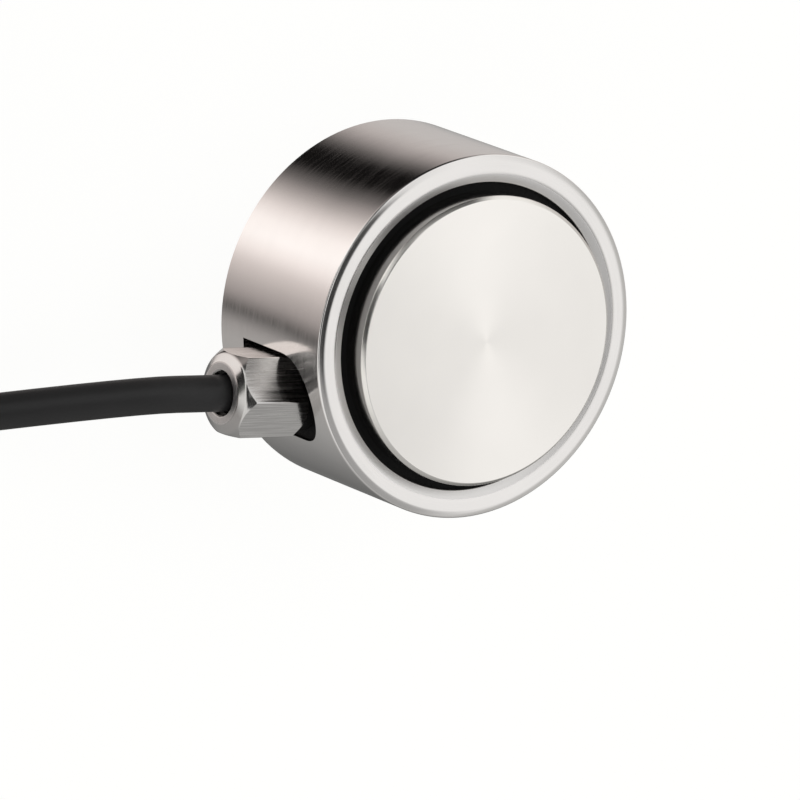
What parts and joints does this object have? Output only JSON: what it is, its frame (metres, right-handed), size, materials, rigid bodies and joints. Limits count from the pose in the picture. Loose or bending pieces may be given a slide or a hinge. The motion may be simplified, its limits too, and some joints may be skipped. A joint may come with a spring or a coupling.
{
  "type": "miniature load cell",
  "caption": "Short round steel compression load cell with a proud load plate in a grooved ring, a hexagon cable gland beside the column and a coiled signal cable.",
  "frame": {"origin": "centre of the base face", "axes": "+Z along the load axis from the base to the load plate, -X the way the cable leaves"},
  "size_m": [0.1703, 0.0784, 0.0269],
  "materials": {
    "tube_steel": "polished, with fine turning lines round the side",
    "plate_steel": "finely turned in circles",
    "nut_nickel": "bright, brushed along the flats",
    "inner_steel": "milled",
    "black_rubber": "matte",
    "black_nylon": "moulded",
    "cable_jacket": "satin, extruded",
    "gauge_film": "amber film with foil grid",
    "board_laminate": "solder mask",
    "resistor_body": "ceramic chip",
    "post_brass": "tinned",
    "spacer_metal": "turned",
    "screw_steel": "zinc plated",
    "wire_film": "enamel",
    "tie_fabric": "woven hook and loop",
    "insulation_red": "extruded",
    "insulation_black": "extruded",
    "insulation_green": "extruded",
    "insulation_white": "extruded",
    "tinned_copper": "tinned strands"
  },
  "bodies": {
    "root": {"sensing_element": "tube_steel", "shell": "tube_steel", "load_plate": "plate_steel", "groove_seal": "black_rubber", "strain_gauge_1": "gauge_film", "strain_gauge_2": "gauge_film", "strain_gauge_3": "gauge_film", "strain_gauge_4": "gauge_film", "terminal_board": "board_laminate", "board_spacers": "spacer_metal", "board_screws": "screw_steel", "bridge_resistors": "resistor_body", "terminal_posts": "post_brass", "gauge_leads": "wire_film", "signal_cores": "insulation_white", "entry_gasket": "black_rubber", "gland_body": "inner_steel", "gland_seal_ring": "black_rubber", "cable_seal": "black_rubber", "gland_washer": "black_nylon", "gland_nut": "nut_nickel", "cable": "cable_jacket", "cable_coil": "cable_jacket", "cable_tail": "cable_jacket", "coil_tie": "tie_fabric", "end_sleeve": "black_nylon", "lead_red": "insulation_red", "lead_black": "insulation_black", "lead_green": "insulation_green", "lead_white": "insulation_white", "shield_drain": "tinned_copper"}
  },
  "joints": []
}
